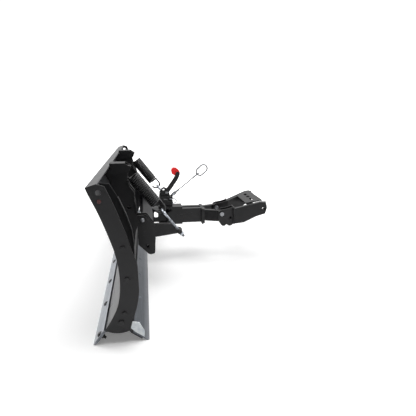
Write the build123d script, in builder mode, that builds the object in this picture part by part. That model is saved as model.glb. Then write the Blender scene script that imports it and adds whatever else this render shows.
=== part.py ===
from build123d import *
import math
import os

# Front-mounted utility plow blade.
# Frame: +Z up, X across the blade (+X = right-hand end), -Y forward (the way
# the plow pushes), +Y towards the vehicle.  Origin: middle of the cutting
# edge's flat ground land, 5 mm behind its tip.  All sizes in millimetres.

os.makedirs("parts", exist_ok=True)

# --------------------------------------------------------- shared dimensions
BLADE_WIDTH = 1829.0            # 72 in blade
HALF = BLADE_WIDTH / 2
END_T = 5.0                     # end plate thickness
SKIN_X = HALF - END_T           # moldboard half length
SKIN_T = 4.0                    # moldboard sheet
SKIN_GAP = 0.3                  # gap between the moldboard and the ribs
EDGE_T = 10.0                   # cutting edge thickness
EDGE_TIP = -5.0                 # front line of the cutting edge
BAR_T = 6.0                     # back-drag bar thickness
RUN = 0.05                      # running clearance on a radius
GAP = 0.1                       # gap between faces that meet

BOLT_R = 5.0                    # blade bolts
BOLT_HOLE_R = BOLT_R + RUN

RIB_X = 351.0                   # spring / rib centre line from the middle
RIB_IN, RIB_OUT = 24.0, 30.0    # rib plate inner / outer face from RIB_X
PLATE_IN, PLATE_OUT = 18.0, 23.0  # pivot plate faces from RIB_X
TRIP_Y, TRIP_Z = 185.0, 329.0   # trip pivot axis (along X)
TRIP_R = 8.0                    # trip bolt radius

SPRING_Y, SPRING_Z = 148.0, 541.5     # top of the spring coil on its axis
AXIS_Y, AXIS_Z = 0.61, -0.7924        # spring axis, pointing down and back
SPRING_DIR = (0, AXIS_Y, AXIS_Z)
ACROSS_SPRING = (0, -AXIS_Z, AXIS_Y)  # square to the axis, to the rear side
TRUNNION_S = 360.0                    # trunnion distance down the spring axis
TRUNNION_PIN_R = 8.0

KING_Y = 343.0                  # kingpin (swivel axis, vertical)
KING_R = 12.5
LOCK_RAD = 50.0                 # detent circle
LOCK_Y = KING_Y - LOCK_RAD
LOCK_R = 5.0
LEVER_Y, LEVER_Z = 324.0, 392.0   # lever pivot
LEVER_BOLT_R = 4.0
CABLE_Y, CABLE_Z = 364.0, 379.0   # lower end of the lift cable
CABLE_PIN_R = 4.0
RING_Y, RING_Z = 505.5, 492.5     # upper end of the lift cable, in the ring
LIFT_Y, LIFT_Z = 632.0, 276.0     # lift pivot axis (along X)
LIFT_R = 8.0

# Heights of the parts stacked on the kingpin
HEAD_LOW_Z, HEAD_LOW_T = 208.0, 8.0
HEAD_TOP_Z, HEAD_TOP_T = 299.0, 12.0
SLEEVE_Z0, SLEEVE_Z1 = 218.0, 288.5
SECTOR_T = 9.0

# moldboard front face, top to bottom, as (Y, Z)
FRONT = [(4, 589), (20, 549), (34, 518), (57, 459), (76, 403), (92, 347),
         (101, 290), (103, 232), (99, 186), (86, 135), (64, 92), (44.05, 60.8)]
FACE_STEPS = 80


# ------------------------------------------------------------ outline helpers
def offset_points(points, distance):
    """Points moved to the rear side of a line that runs downwards."""
    moved = []
    last = len(points) - 1
    for i, (y, z) in enumerate(points):
        before = points[max(i - 1, 0)]
        after = points[min(i + 1, last)]
        step_y = after[0] - before[0]
        step_z = after[1] - before[1]
        length = math.hypot(step_y, step_z)
        moved.append((y - step_z / length * distance, z + step_y / length * distance))
    return moved


skin_curve = Spline(*FRONT)
FACE = [((skin_curve @ (i / FACE_STEPS)).X, (skin_curve @ (i / FACE_STEPS)).Y)
        for i in range(FACE_STEPS + 1)]


def behind_skin(distance, z_top, z_bottom):
    """Line behind the moldboard's front face between two heights."""
    return [p for p in offset_points(FACE, distance) if z_bottom <= p[1] <= z_top]


def rib_front(z_top, z_bottom, extra=0.0):
    """Front line of a rib, just behind the moldboard's rear face."""
    return behind_skin(SKIN_T + SKIN_GAP + extra, z_top, z_bottom)


def strip(points, thick):
    """Outline of a bent strip centred on a polyline, mitred at its bends."""
    left, right = [], []
    last = len(points) - 1
    for i, (y, z) in enumerate(points):
        steps = []
        if i > 0:
            steps.append((y - points[i - 1][0], z - points[i - 1][1]))
        if i < last:
            steps.append((points[i + 1][0] - y, points[i + 1][1] - z))
        units = [(dy / math.hypot(dy, dz), dz / math.hypot(dy, dz)) for dy, dz in steps]
        mean_y = sum(u[0] for u in units) / len(units)
        mean_z = sum(u[1] for u in units) / len(units)
        length = math.hypot(mean_y, mean_z)
        normal_y, normal_z = -mean_z / length, mean_y / length
        reach = thick / 2 / max(length, 0.3)
        left.append((y + normal_y * reach, z + normal_z * reach))
        right.append((y - normal_y * reach, z - normal_z * reach))
    return left + right[::-1]


def both_faces(inner, outer):
    """X ranges of two plates placed alike on either side of a centre."""
    return ((inner, outer), (-outer, -inner))


def both_ends(stations):
    """Each X station on the left and on the right."""
    return [x for station in stations for x in (-station, station)]


# -------------------------------------------------------------- solid helpers
def slab(points, x0, x1, mode=Mode.ADD):
    """Plate with a (Y, Z) outline between two X positions."""
    with BuildSketch(Plane.YZ.offset(min(x0, x1))) as outline:
        with BuildLine():
            Polyline(*points, close=True)
        make_face()
    extrude(outline.sketch, amount=abs(x1 - x0), mode=mode)


def block(x0, x1, y0, y1, z0, z1, mode=Mode.ADD):
    with Locations(((x0 + x1) / 2, (y0 + y1) / 2, (z0 + z1) / 2)):
        Box(abs(x1 - x0), abs(y1 - y0), abs(z1 - z0), mode=mode)


def across(y, z, radius, x0, x1, mode=Mode.ADD):
    """Round bar or hole along X."""
    with Locations(Plane(origin=((x0 + x1) / 2, y, z), z_dir=(1, 0, 0))):
        Cylinder(radius, abs(x1 - x0), mode=mode)


def rib_bore(y, z, radius):
    """Hole along X through everything around the right rib centre line."""
    across(y, z, radius, RIB_X - 60, RIB_X + 60, mode=Mode.SUBTRACT)


def upright(x, y, radius, z0, z1, mode=Mode.ADD):
    """Round bar or hole along Z."""
    with Locations((x, y, (z0 + z1) / 2)):
        Cylinder(radius, abs(z1 - z0), mode=mode)


def king_bore(z0, z1):
    """Kingpin hole between two heights."""
    upright(0, KING_Y, KING_R + RUN, z0, z1, mode=Mode.SUBTRACT)


def rod(start, direction, radius, length, mode=Mode.ADD):
    """Round bar or hole from a point along a direction."""
    with Locations(Plane(origin=start, z_dir=direction)):
        Cylinder(radius, length, align=(Align.CENTER, Align.CENTER, Align.MIN), mode=mode)


def hexagon(start, direction, radius, length):
    with BuildSketch(Plane(origin=start, z_dir=direction)) as flats:
        RegularPolygon(radius=radius, side_count=6)
    extrude(flats.sketch, amount=length)


def dome(start, direction, radius, height):
    """Round carriage-bolt head, flat at start, domed along direction."""
    shoulder_r, shoulder_h = radius * 0.78, height * 0.55
    with Locations(Plane(origin=start, z_dir=direction)):
        Cone(radius, shoulder_r, shoulder_h,
             align=(Align.CENTER, Align.CENTER, Align.MIN))
        with Locations((0, 0, shoulder_h)):
            Cone(shoulder_r, radius * 0.35, height * 0.45,
                 align=(Align.CENTER, Align.CENTER, Align.MIN))


def nut(start, direction, radius, length, bore):
    hexagon(start, direction, radius, length)
    rod(start, direction, bore, length, mode=Mode.SUBTRACT)


# ------------------------------------------------------------- local frames
def spring_point(down, rear=0.0):
    """(Y, Z) at a distance down the spring axis and to its rear side."""
    return (SPRING_Y + AXIS_Y * down - AXIS_Z * rear,
            SPRING_Z + AXIS_Z * down + AXIS_Y * rear)


def edge_point(up, behind):
    """(Y, Z) in the cutting edge's frame: up its face, behind its face."""
    return (EDGE_TIP + 0.582 * up + 0.813 * behind, 0.813 * up - 0.582 * behind)


def bar_point(down, above):
    """(Y, Z) in the back-drag bar's frame: down its slope, above its underside."""
    return (151.5 + 0.813 * down + 0.583 * above, 28.1 - 0.583 * down + 0.813 * above)


EDGE_REAR = (0, 0.813, -0.582)       # through the cutting edge, towards the rear
EDGE_FRONT = (0, -0.813, 0.582)
BAR_UP = (0, 0.583, 0.813)           # out of the back-drag bar's upper face
BAR_DOWN = (0, -0.583, -0.813)


# -------------------------------------------------------------------- export
def save(name, piece):
    piece.part.label = name
    export_step(piece.part, f"parts/{name}.step")


def save_pair(name, right):
    """Save a right-hand piece and its left-hand mirror image."""
    with BuildPart() as left:
        mirror(right.part, about=Plane.YZ)
    save(f"{name}_right", right)
    save(f"{name}_left", left)


# =============================================================== BLADE GROUP
# Moldboard: one curved sheet with its folded top lip and lip return.
TOP_LIP = [(4.0, 589.0), (41.0, 601.0), (45.0, 599.9), (41.3, 587.6), (37.5, 588.7),
           (39.8, 596.4), (7.4, 585.6)]
with BuildPart() as moldboard:
    with BuildSketch(Plane.YZ.offset(-SKIN_X)) as skin_profile:
        with BuildLine():
            Spline(*FACE)
            rear_face = offset_points(FACE, SKIN_T)
            Spline(*rear_face)
            Line(FACE[0], rear_face[0])
            Line(FACE[-1], rear_face[-1])
        make_face()
    extrude(amount=2 * SKIN_X)
    slab(TOP_LIP, -SKIN_X, SKIN_X)
save("moldboard", moldboard)

# End plates: C-shaped, with a large hole at the top, a reflector hole and
# bolt holes.  Rear edge from bottom to top, and bolt places, as (Y, Z).
END_BACK = [(132, 48), (137, 70), (153, 117), (167, 176), (170, 208), (169, 266),
            (165, 318), (157, 340), (145, 377), (133, 422), (118, 466), (107, 499),
            (95, 531), (83, 559), (69, 593)]
END_FOOT = [(44.4, 52.2), (88, 39.5), (132, 48)]      # arc along the bottom
END_TOP = [(69, 593), (41, 601), (4, 589)]
END_BOLTS = [(119, 370), (129, 251), (114, 118), (101, 83)]
REFLECTOR_Y, REFLECTOR_Z = 49, 541
REFLECTOR_R = 4.0                                     # stem radius
with BuildPart() as end_plate_right:
    with BuildSketch(Plane.YZ.offset(SKIN_X)) as end_outline:
        with BuildLine():
            Spline(*FACE)
            Polyline(FACE[-1], END_FOOT[0])
            ThreePointArc(*END_FOOT)
            Spline(*END_BACK)
            Polyline(*END_TOP)
        make_face()
    extrude(amount=END_T)
    across(48, 571, 10.0, SKIN_X - 1, HALF + 1, mode=Mode.SUBTRACT)
    across(REFLECTOR_Y, REFLECTOR_Z, REFLECTOR_R + RUN, SKIN_X - 1, HALF + 1,
           mode=Mode.SUBTRACT)
    for y, z in END_BOLTS:
        across(y, z, BOLT_HOLE_R, SKIN_X - 1, HALF + 1, mode=Mode.SUBTRACT)
    # the two top corners, then the rim of the outer face
    fillet(end_plate_right.edges().filter_by(Axis.X).sort_by(Axis.Z)[-2:], 5)
    chamfer(end_plate_right.faces().sort_by(Axis.X)[-1].outer_wire().edges(), 0.8)
save_pair("end_plate", end_plate_right)

# End ribs: stiffening plates just inside the end plates.
END_RIB_T = 5.0
END_RIB_X = SKIN_X - GAP - END_RIB_T          # inboard face
END_RIB_BACK = [(125, 60), (133, 84), (149, 124), (163, 180), (166, 208), (165, 266),
                (161, 315), (153, 338), (141, 375), (129, 420), (114, 464), (103, 497),
                (91, 529), (78, 560)]
with BuildPart() as end_ribs:
    with BuildSketch(Plane.YZ.offset(END_RIB_X)) as end_rib_outline:
        with BuildLine():
            Polyline(*(rib_front(566, 59.5) + END_RIB_BACK), close=True)
        make_face()
    extrude(amount=END_RIB_T)
    for y, z in END_BOLTS:
        across(y, z, BOLT_HOLE_R, SKIN_X - 10, SKIN_X + 1, mode=Mode.SUBTRACT)
    across(REFLECTOR_Y, REFLECTOR_Z, REFLECTOR_R + RUN, SKIN_X - 10, SKIN_X + 1,
           mode=Mode.SUBTRACT)
    mirror(about=Plane.YZ)
save("end_ribs", end_ribs)

# The lowest end plate bolt has a larger head.
END_HEAD_RADII = (9.0, 9.0, 9.0, 10.5)
with BuildPart() as end_plate_bolts:
    for (y, z), head_r in zip(END_BOLTS, END_HEAD_RADII):
        hexagon((HALF, y, z), (1, 0, 0), radius=head_r, length=5.5)
        rod((HALF, y, z), (-1, 0, 0), BOLT_R, length=21.0)
    mirror(about=Plane.YZ)
save("end_plate_bolts", end_plate_bolts)

with BuildPart() as end_plate_nuts:
    for y, z in END_BOLTS:
        nut((END_RIB_X, y, z), (-1, 0, 0), radius=9.0, length=7.0, bore=BOLT_HOLE_R)
    mirror(about=Plane.YZ)
save("end_plate_nuts", end_plate_nuts)

# Small round reflectors with a push-in stem at the top of each end plate.
with BuildPart() as reflectors:
    rod((HALF, REFLECTOR_Y, REFLECTOR_Z), (1, 0, 0), radius=7.5, length=2.5)
    chamfer(reflectors.faces().sort_by(Axis.X)[-1].edges(), 0.8)
    rod((HALF, REFLECTOR_Y, REFLECTOR_Z), (-1, 0, 0), REFLECTOR_R, length=12.0)
    mirror(about=Plane.YZ)
save("reflectors", reflectors)

# Wear bar bolts: X stations from the middle, and places up or down the bars.
EDGE_BOLT_X = both_ends((137, 411, 650, 897))
BAR_BOLT_X = both_ends((110, 330, 600, 820))
EDGE_BOLT_UP = 40.0
BAR_BOLT_DOWN = 8.0


def edge_bolt_holes(start):
    """Cutting edge bolt holes, drilled rearwards from a depth behind its face."""
    for x in EDGE_BOLT_X:
        rod((x, *edge_point(EDGE_BOLT_UP, start)), EDGE_REAR, BOLT_HOLE_R, 30,
            mode=Mode.SUBTRACT)


def bar_bolt_holes():
    """Back-drag bar bolt holes, drilled down from above the bar."""
    for x in BAR_BOLT_X:
        rod((x, *bar_point(BAR_BOLT_DOWN, 8)), BAR_DOWN, BOLT_HOLE_R, 30,
            mode=Mode.SUBTRACT)


# Folded base rail: front leg behind the cutting edge, floor, rear leg that
# carries the back-drag bar.
BASE_T = 5.0                     # sheet
BASE_X = SKIN_X - 0.2            # half length, also of the back-drag bar
NOTCH_X = 878                    # the front leg is cut away beyond this
BASE_PATH = [edge_point(20, EDGE_T + GAP + BASE_T / 2),
             edge_point(76, EDGE_T + GAP + BASE_T / 2),
             (124, 53),
             bar_point(-18, -GAP - BASE_T / 2),
             bar_point(30, -GAP - BASE_T / 2)]
NOTCH = [edge_point(14, EDGE_T - 0.4), edge_point(66, EDGE_T - 0.4),
         edge_point(66, EDGE_T + 7), edge_point(14, EDGE_T + 7)]
with BuildPart() as base_rail:
    slab(strip(BASE_PATH, BASE_T), -BASE_X, BASE_X)
    for x0, x1 in both_faces(NOTCH_X, SKIN_X + 1):
        slab(NOTCH, x0, x1, mode=Mode.SUBTRACT)
    edge_bolt_holes(0)
    bar_bolt_holes()
save("base_rail", base_rail)

# Cutting edge: replaceable wear bar across the front.
with BuildPart() as cutting_edge:
    slab([edge_point(0, 0), edge_point(70, 0), edge_point(70, EDGE_T),
          edge_point(20, EDGE_T), (4.0, 0.0)], -HALF, HALF)
    edge_bolt_holes(-2)
save("cutting_edge", cutting_edge)

# Back-drag edge: flat wear bar sloping down at the rear.
with BuildPart() as backdrag_edge:
    slab([bar_point(-14, 0), bar_point(48.2, 0), (201.0, 0.0), bar_point(-14, BAR_T)],
         -BASE_X, BASE_X)
    bar_bolt_holes()
save("backdrag_edge", backdrag_edge)

# Bracket plates that tie the back-drag bar to the base, with a foot each.
BRACKET_X = SKIN_X - 4.6         # inboard face
FOOT_Z = BAR_T + GAP             # underside of the foot above the bar's underside
with BuildPart() as backdrag_brackets:
    slab([(130, 58), (141, 80), (166, 73), (183, 39), bar_point(34, FOOT_Z),
          bar_point(-10, FOOT_Z)], BRACKET_X, BRACKET_X + 4.0)
    slab([bar_point(16, FOOT_Z), bar_point(32, FOOT_Z), bar_point(32, FOOT_Z + 3),
          bar_point(16, FOOT_Z + 3)], BRACKET_X - 30, BRACKET_X + 1)
    mirror(about=Plane.YZ)
save("backdrag_brackets", backdrag_brackets)

# Carriage bolts of both wear bars and their nuts.
with BuildPart() as edge_bolts:
    for x in EDGE_BOLT_X:
        seat = (x, *edge_point(EDGE_BOLT_UP, 0))
        dome(seat, EDGE_FRONT, radius=12.0, height=7.0)
        rod(seat, EDGE_REAR, BOLT_R, length=27.0)
    for x in BAR_BOLT_X:
        seat = (x, *bar_point(BAR_BOLT_DOWN, BAR_T + 0.05))
        dome(seat, BAR_UP, radius=8.5, height=2.4)
        rod(seat, BAR_DOWN, BOLT_R, length=22.0)
save("edge_bolts", edge_bolts)

NUT_GAP = 0.15
with BuildPart() as edge_nuts:
    for x in EDGE_BOLT_X:
        # the outermost nuts sit in the notches, straight on the cutting edge
        seat_depth = EDGE_T + (NUT_GAP if abs(x) > NOTCH_X else BASE_T + NUT_GAP)
        nut((x, *edge_point(EDGE_BOLT_UP, seat_depth)), EDGE_REAR,
            radius=9.5, length=8.0, bore=BOLT_HOLE_R)
    for x in BAR_BOLT_X:
        nut((x, *bar_point(BAR_BOLT_DOWN, -BASE_T - NUT_GAP)), BAR_DOWN,
            radius=9.5, length=7.0, bore=BOLT_HOLE_R)
save("edge_nuts", edge_nuts)

# Main ribs: formed channels (two plates and a front web) with rolled-out rear
# flanges, a lug for the spring pin at the top and the trip pivot lug.
PIN_Y, PIN_Z = spring_point(-44.6)
PIN_R = 8.0                      # spring pin
WEB_T = 4.0                      # web and flange sheet
FLANGE_OUT = 12                  # flange reach beyond the rib plates
TRIP_BOSS = 4                    # boss on the outboard plate
RIB_TOP = 603.7
RIB_REAR = [(100, RIB_TOP), (112, 592), (126, 566), (122, 528), (130, 499), (152, 469),
            (151, 430), (157, 410), (159, 352), (185, 353), (205, 342), (208, 322),
            (194, 306), (160, 298), (150, 270), (146, 235), (140, 180), (133, 120),
            (125, 60)]
RIB_OUTLINE = [(47, RIB_TOP), (47, 583.5)] + rib_front(582, 59.5) + RIB_REAR[::-1]
FLANGE = [(120, 527), (128, 498), (150, 468), (149, 430), (155, 409), (157, 356)]
with BuildPart() as main_rib_right:
    for x0, x1 in both_faces(RIB_IN, RIB_OUT):
        slab(RIB_OUTLINE, RIB_X + x0, RIB_X + x1)
        across(PIN_Y, PIN_Z, 14.0, RIB_X + x0, RIB_X + x1)
    across(TRIP_Y, TRIP_Z, 21.0, RIB_X + RIB_OUT, RIB_X + RIB_OUT + TRIP_BOSS)
    slab(rib_front(560, 80) + rib_front(560, 80, WEB_T)[::-1],
         RIB_X - RIB_OUT, RIB_X + RIB_OUT)
    for x0, x1 in both_faces(RIB_IN, RIB_OUT + FLANGE_OUT):
        slab(strip(FLANGE, WEB_T), RIB_X + x0, RIB_X + x1)
    rib_bore(PIN_Y, PIN_Z, PIN_R + RUN)
    rib_bore(TRIP_Y, TRIP_Z, TRIP_R + RUN)
    rib_bore(124, 395, 11.0)
    rib_bore(122, 150, 11.0)
save_pair("main_rib", main_rib_right)

# Spring brackets: wide caps folded over the top of each main rib.
CAP_IN, CAP_OUT = 35.0, 40.0     # cheek faces from RIB_X
CAP_Z = 609                      # top face
CAP_OUTLINE = ([(47, CAP_Z), (47, 583.5)] + rib_front(582, 541)
               + [(112, 568), (128, 578), (141, 587), (140, 592), (112, CAP_Z)])
with BuildPart() as spring_brackets:
    for x0, x1 in both_faces(CAP_IN, CAP_OUT):
        slab(CAP_OUTLINE, RIB_X + x0, RIB_X + x1)
    slab([(47, 604), (112, 604), (112, CAP_Z), (47, CAP_Z)],
         RIB_X - CAP_OUT, RIB_X + CAP_OUT)
    slab([(42, 601.8), (47, 601.8), (47, CAP_Z), (42, CAP_Z)],
         RIB_X - CAP_OUT, RIB_X + CAP_OUT)
    mirror(about=Plane.YZ)
save("spring_brackets", spring_brackets)

# Intermediate ribs: curved plates with a rear flange, outboard and in the
# middle.  The middle rib's rear edge is held forward of MID_LIMIT_Y.
MID_BACK = [(60, 556), (92, 500), (120, 430), (142, 360), (148, 300), (148, 240),
            (142, 180), (132, 115), (124, 60)]
MID_LIMIT_Y = 136
MIDDLE_BACK = [(min(y, MID_LIMIT_Y), z) for y, z in MID_BACK]
MID_RIBS = ((640.0, 28.0, MID_BACK), (-640.0, 28.0, MID_BACK), (0.0, 24.0, MIDDLE_BACK))
with BuildPart() as intermediate_ribs:
    for x, flange_width, back in MID_RIBS:
        slab(rib_front(560, 59.5) + back[::-1], x - 2.5, x + 2.5)
        slab(strip(back[1:-1], 4.0), x - flange_width / 2, x + flange_width / 2)
save("intermediate_ribs", intermediate_ribs)

# Spring pins through the rib lugs.
with BuildPart() as spring_pins:
    across(PIN_Y, PIN_Z, PIN_R, RIB_X - RIB_OUT - 4.5, RIB_X + RIB_OUT)
    across(PIN_Y, PIN_Z, 10.0, RIB_X + RIB_OUT, RIB_X + RIB_OUT + 3)
    across(PIN_Y, PIN_Z, 10.5, RIB_X - RIB_OUT - 4.2, RIB_X - RIB_OUT - 0.2)
    mirror(about=Plane.YZ)
save("spring_pins", spring_pins)

# Trip pivot bolts, clamped in the rib lugs, turning in the swivel's sleeves.
with BuildPart() as pivot_bolts:
    head_seat = (RIB_X + RIB_OUT + TRIP_BOSS, TRIP_Y, TRIP_Z)
    rod(head_seat, (-1, 0, 0), TRIP_R, length=2 * RIB_OUT + 21)
    dome(head_seat, (1, 0, 0), radius=10.5, height=6.5)
    mirror(about=Plane.YZ)
save("pivot_bolts", pivot_bolts)

with BuildPart() as pivot_nuts:
    nut((RIB_X - RIB_OUT - GAP, TRIP_Y, TRIP_Z), (-1, 0, 0),
        radius=13.5, length=12.0, bore=TRIP_R + RUN)
    mirror(about=Plane.YZ)
save("pivot_nuts", pivot_nuts)

# ============================================================== SWIVEL GROUP
# Cross tube: square tube between the inboard pivot plates, with a short
# length between the two plates of each pair.
TUBE_X = RIB_X - PLATE_OUT                # end of the long length
TUBE_OUTSIDE = (180, 240, 235, 295)       # Y and Z ranges
TUBE_INSIDE = (185, 235, 240, 290)
with BuildPart() as cross_tube:
    block(-TUBE_X, TUBE_X, *TUBE_OUTSIDE)
    fillet(cross_tube.edges().filter_by(Axis.X), 6)
    block(-TUBE_X - 1, TUBE_X + 1, *TUBE_INSIDE, mode=Mode.SUBTRACT)
    for side in (1, -1):
        x0, x1 = side * (RIB_X - PLATE_IN), side * (RIB_X + PLATE_IN)
        block(x0, x1, *TUBE_OUTSIDE)
        block(x0, x1, *TUBE_INSIDE, mode=Mode.SUBTRACT)
save("cross_tube", cross_tube)

PIVOT_OUTLINE = [(162, 352), (160, 348), (160, 202), (210, 150), (222, 147), (239, 152),
                 (242, 158), (246, 236), (246, 289), (242, 300), (208, 350), (202, 353)]
with BuildPart() as pivot_plates:
    for x0, x1 in both_faces(PLATE_IN, PLATE_OUT):
        slab(PIVOT_OUTLINE, RIB_X + x0, RIB_X + x1)
    rib_bore(TRIP_Y, TRIP_Z, TRIP_R + RUN)
    rib_bore(206, 190, 8.0)
    mirror(about=Plane.YZ)
save("pivot_plates", pivot_plates)

with BuildPart() as pivot_sleeves:
    across(TRIP_Y, TRIP_Z, 14.0, RIB_X - PLATE_IN, RIB_X + PLATE_IN)
    rib_bore(TRIP_Y, TRIP_Z, TRIP_R + RUN)
    mirror(about=Plane.YZ)
save("pivot_sleeves", pivot_sleeves)

# Spring arms: box tubes running back from the cross tube, each with an outer
# cheek plate whose rounded end carries the trunnion.
TRUNNION_Y, TRUNNION_Z = spring_point(TRUNNION_S)
ARM_W, ARM_WALL = 36, 4
CHEEK_T = 5
CHEEK = [(246.2, 224.5), (351, 238), (366, 241.5), (378, 247), (382, 258), (376, 268),
         (360, 274), (326, 289), (246.2, 295)]
with BuildPart() as spring_arm_right:
    block(TUBE_X - ARM_W, TUBE_X, 240, 345, 238, 288)
    block(TUBE_X - ARM_W + ARM_WALL, TUBE_X - ARM_WALL, 239, 341,
          238 + ARM_WALL, 288 - ARM_WALL, mode=Mode.SUBTRACT)
    slab(CHEEK, TUBE_X, TUBE_X + CHEEK_T)
    across(TRUNNION_Y, TRUNNION_Z, 15.0, TUBE_X, TUBE_X + CHEEK_T)
    across(TRUNNION_Y, TRUNNION_Z, TRUNNION_PIN_R + RUN, TUBE_X - 1,
           TUBE_X + CHEEK_T + 1, mode=Mode.SUBTRACT)
save_pair("spring_arm", spring_arm_right)

with BuildPart() as kingpin_sleeve:
    upright(0, KING_Y, 28.0, SLEEVE_Z0, SLEEVE_Z1)
    king_bore(217, 289)
save("kingpin_sleeve", kingpin_sleeve)

# Swivel tongue: two side plates from the cross tube to the kingpin sleeve,
# each with a rounded window.
with BuildPart() as swivel_tongue:
    for x0, x1 in both_faces(16, 20):
        block(x0, x1, 240, 319.9, 218.2, 288.4)
    with BuildSketch(Plane.YZ.offset(-21)) as window:
        with Locations((260, 258.5)):
            RectangleRounded(24, 43, 8)
    extrude(window.sketch, amount=42, mode=Mode.SUBTRACT)
save("swivel_tongue", swivel_tongue)

# Sector plate with five detent holes on the lock circle.
DETENTS = (-30.0, -15.0, 0.0, 15.0, 30.0)     # degrees from straight ahead
SECTOR_R = 102.0
WEDGE_R = 130                                 # side length of the cutting wedge
WEDGE_ANGLE = math.radians(38)                # half angle of the wedge
with BuildPart() as sector_plate:
    with BuildSketch(Plane.XY.offset(SLEEVE_Z1)) as sector_outline:
        with Locations((0, KING_Y)):
            Circle(SECTOR_R)
        with BuildLine():
            wedge_x = WEDGE_R * math.sin(WEDGE_ANGLE)
            wedge_y = KING_Y - WEDGE_R * math.cos(WEDGE_ANGLE)
            Polyline((0, KING_Y + 6), (wedge_x, wedge_y), (-wedge_x, wedge_y), close=True)
        make_face(mode=Mode.INTERSECT)
        with Locations((0, KING_Y)):
            Circle(34.0)
    extrude(amount=SECTOR_T)
    king_bore(280, 300)
    for degrees in DETENTS:
        angle = math.radians(degrees)
        upright(LOCK_RAD * math.sin(angle), KING_Y - LOCK_RAD * math.cos(angle),
                LOCK_R + 0.25, 280, 300, mode=Mode.SUBTRACT)
save("sector_plate", sector_plate)

# ========================================================== TENSIONER GROUPS
# The spring is drawn in its own frame: origin at the coil's top on its axis,
# local z down the axis, local x to the rear side, local y along +X.
SPRING_PLANE = Plane(origin=(RIB_X, SPRING_Y, SPRING_Z), x_dir=ACROSS_SPRING,
                     z_dir=SPRING_DIR)
COIL_R, WIRE_R = 26.5, 4.8
COIL_PITCH, COIL_TURNS = 9.85, 17.36
COIL_START = 205.0                     # start angle of the helix
COIL_H = COIL_PITCH * COIL_TURNS
COIL_Z0 = WIRE_R - 4.0
COIL_Z1 = COIL_Z0 + COIL_H
HOOK_R = 24.5
HOOK_LEG = 14                          # length over which the wire leaves the coil
TOP_HOOK_Z = -33.0                     # hook centres along the axis
LOW_HOOK_Z = COIL_Z1 + WIRE_R + 27.0
LOW_HOOK_END = math.radians(12)        # how far the lower hook passes its half turn


def top_hook_point(degrees):
    """Point on the upper hook, by angle from its top towards the rear side."""
    angle = math.radians(degrees)
    return (HOOK_R * math.sin(angle), 0, TOP_HOOK_Z - HOOK_R * math.cos(angle))


coil_line = Rot(0, 0, COIL_START) * Pos(0, 0, COIL_Z0) * Helix(
    pitch=COIL_PITCH, height=COIL_H, radius=COIL_R)
low_leg = Spline(coil_line @ 1, (HOOK_R, 0, COIL_Z1 + HOOK_LEG),
                 tangents=(coil_line % 1, (0, 0, 1)))
low_line = Line((HOOK_R, 0, COIL_Z1 + HOOK_LEG), (HOOK_R, 0, LOW_HOOK_Z))
low_hook = ThreePointArc((HOOK_R, 0, LOW_HOOK_Z), (0, 0, LOW_HOOK_Z + HOOK_R),
                         (-HOOK_R * math.cos(LOW_HOOK_END), 0,
                          LOW_HOOK_Z - HOOK_R * math.sin(LOW_HOOK_END)))
top_leg = Spline((-HOOK_R, 0, COIL_Z0 - HOOK_LEG), coil_line @ 0,
                 tangents=((0, 0, 1), coil_line % 0))
top_line = Line((-HOOK_R, 0, TOP_HOOK_Z), (-HOOK_R, 0, COIL_Z0 - HOOK_LEG))
top_hook = ThreePointArc(top_hook_point(68), top_hook_point(-10),
                         (-HOOK_R, 0, TOP_HOOK_Z))

with BuildPart() as spring_local:
    with BuildSketch(Plane(origin=coil_line @ 0, z_dir=coil_line % 0)) as coil_section:
        Circle(WIRE_R)
    sweep(coil_section.sketch, path=Wire([coil_line]), is_frenet=True)
    with BuildSketch(Plane(origin=coil_line @ 1, z_dir=coil_line % 1)) as low_section:
        Circle(WIRE_R)
    sweep(low_section.sketch, path=Wire([low_leg, low_line, low_hook]))
    with BuildSketch(Plane(origin=top_hook @ 0, z_dir=top_hook % 0)) as top_section:
        Circle(WIRE_R)
    sweep(top_section.sketch, path=Wire([top_hook, top_line, top_leg]))

with BuildPart() as spring_right:
    add(SPRING_PLANE.location * spring_local.part)
save_pair("spring", spring_right)

# Eyebolt: ring hooked into the lower spring hook, shank down through the
# trunnion.
EYE_R, EYE_WIRE = 17.0, 6.0            # ring radius and wire radius
EYE_S = LOW_HOOK_Z + HOOK_R - WIRE_R - EYE_WIRE - GAP + EYE_R   # ring centre
SHANK_S = EYE_S + EYE_R
EYEBOLT_END_S = 395.0
with BuildPart() as eyebolt_right:
    with Locations(Plane(origin=(RIB_X, *spring_point(EYE_S)), z_dir=ACROSS_SPRING)):
        Torus(EYE_R, EYE_WIRE)
    rod((RIB_X, *spring_point(SHANK_S)), SPRING_DIR, EYE_WIRE,
        length=EYEBOLT_END_S - EYE_S - EYE_R)
    chamfer(eyebolt_right.edges().filter_by(GeomType.CIRCLE).sort_by(Axis.Z)[0], 1.0)
save_pair("eyebolt", eyebolt_right)

# Trunnion: cross-drilled barrel with a smaller pin through the cheek plate.
TRUNNION_X = TUBE_X + CHEEK_T + 0.2    # shoulder between pin and barrel
with BuildPart() as trunnion_right:
    across(TRUNNION_Y, TRUNNION_Z, 12.0, TRUNNION_X, RIB_X + PLATE_IN)
    chamfer(trunnion_right.faces().sort_by(Axis.X)[-1].edges(), 1.5)
    across(TRUNNION_Y, TRUNNION_Z, TRUNNION_PIN_R, TUBE_X - 6, TRUNNION_X)
    rod((RIB_X, *spring_point(TRUNNION_S - 20)), SPRING_DIR, EYE_WIRE + RUN, length=40,
        mode=Mode.SUBTRACT)
save_pair("trunnion", trunnion_right)

with BuildPart() as adjuster_nut_right:
    nut((RIB_X, *spring_point(TRUNNION_S + 12.2)), SPRING_DIR,
        radius=10.8, length=10.0, bore=EYE_WIRE + RUN)
save_pair("adjuster_nut", adjuster_nut_right)

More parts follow.
